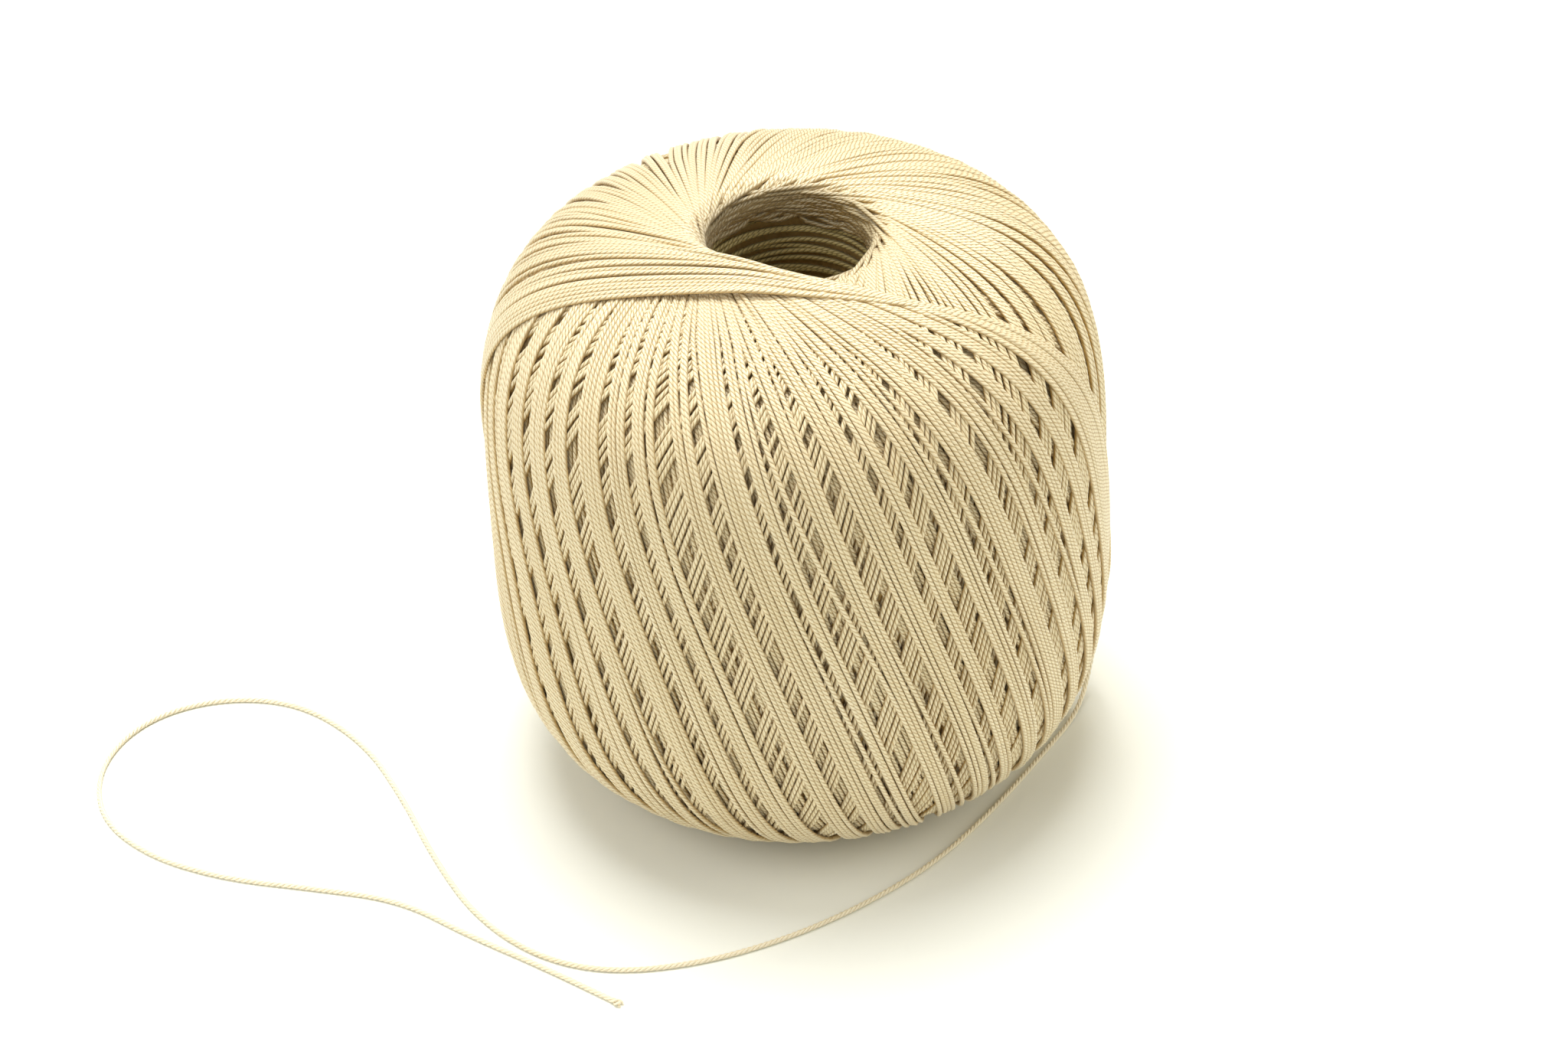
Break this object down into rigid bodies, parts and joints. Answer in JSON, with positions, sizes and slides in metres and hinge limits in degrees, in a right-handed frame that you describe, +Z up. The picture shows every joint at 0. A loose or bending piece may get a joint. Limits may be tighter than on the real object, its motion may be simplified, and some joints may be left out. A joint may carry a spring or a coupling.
{
  "type": "ball of crochet thread",
  "caption": "Barrel-shaped ball of cotton crochet thread, machine-wound round an open centre hole, with its loose end lying in a loop on the table.",
  "frame": {"origin": "middle of the ball's foot, on the axis of the centre hole", "axes": "+Z up along the centre hole, +X to the right and -Y to the front, where the last wraps pass in front of the hole and the loose end lies to the left"},
  "size_m": [0.1211, 0.0861, 0.0705],
  "materials": {
    "ecru_thread": "mercerised cotton, softly glossy",
    "shaded_thread": "mercerised cotton, in shade under the outer wraps"
  },
  "bodies": {
    "root": {"hole_lining": "shaded_thread", "inner_winding": "shaded_thread", "middle_winding": "shaded_thread", "outer_winding": "shaded_thread", "cover_winding": "ecru_thread", "closing_wraps": "ecru_thread", "loose_end": "ecru_thread"}
  },
  "joints": []
}
